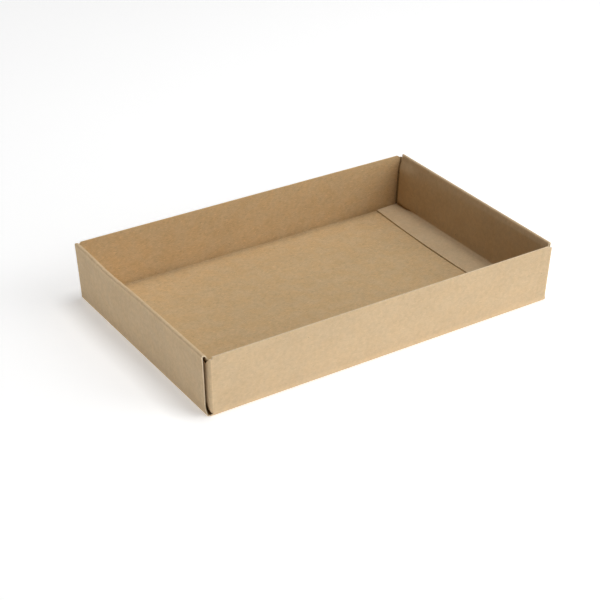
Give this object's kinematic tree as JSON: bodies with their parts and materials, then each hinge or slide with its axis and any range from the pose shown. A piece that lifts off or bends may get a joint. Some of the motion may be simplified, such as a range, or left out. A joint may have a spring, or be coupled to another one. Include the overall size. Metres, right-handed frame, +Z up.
{
  "type": "cardboard tray box",
  "caption": "Shallow open tray folded from one blank of solid kraft board, with rolled double-layer ends, corner tabs and foot flaps on the floor.",
  "frame": {"origin": "centre of the floor's underside", "axes": "+X along the tray from one rolled end to the other, +Y across it from one side wall to the other, +Z up out of the open top"},
  "size_m": [0.2084, 0.127, 0.0315],
  "materials": {
    "kraft_board": "uncoated solid kraft board, matt, paler on its outside face than on its inside face"
  },
  "bodies": {
    "root": {"tray": "kraft_board"}
  },
  "joints": []
}
